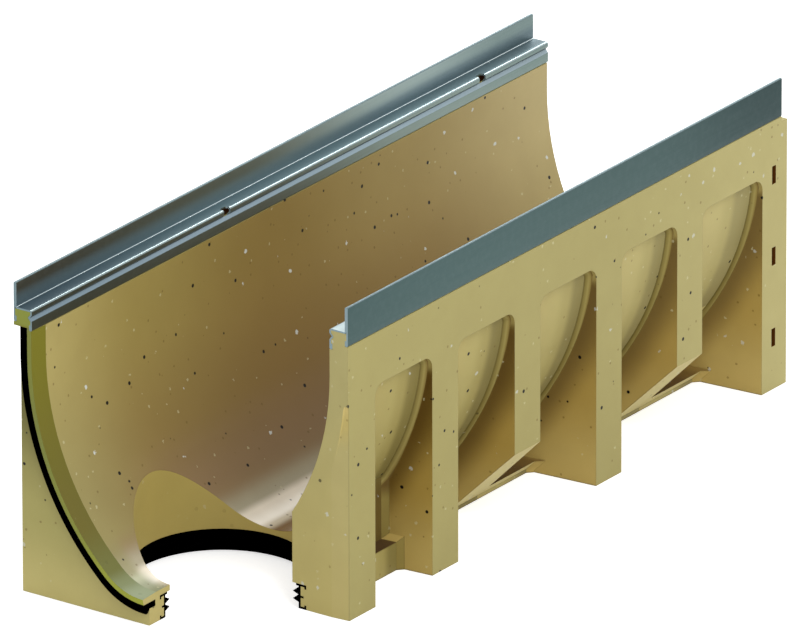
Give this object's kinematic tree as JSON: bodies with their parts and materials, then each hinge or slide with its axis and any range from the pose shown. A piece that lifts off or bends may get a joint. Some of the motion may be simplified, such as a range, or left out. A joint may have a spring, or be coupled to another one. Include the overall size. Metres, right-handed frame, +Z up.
{
  "type": "channel drain",
  "caption": "Open drainage channel with a rounded V-shaped bed, ribbed sides, steel edge rails, a bottom outlet and joint seals, with one quarter cut away.",
  "frame": {"origin": "centre of the footprint at the underside of the base", "axes": "+Y along the channel, from the end with the outlet and the cutaway to the other end; +Z up; +X towards the side that the cutaway opens"},
  "size_m": [0.35, 1.011, 0.378],
  "materials": {
    "polymer_concrete": "matt cast, with dark and light grains",
    "galvanised_steel": "galvanised, satin",
    "seal_rubber": "matt"
  },
  "bodies": {
    "root": {"channel_body": "polymer_concrete", "left_edge_rail": "galvanised_steel", "right_edge_rail": "galvanised_steel", "joint_seal": "seal_rubber", "outlet_seal": "seal_rubber"}
  },
  "joints": []
}
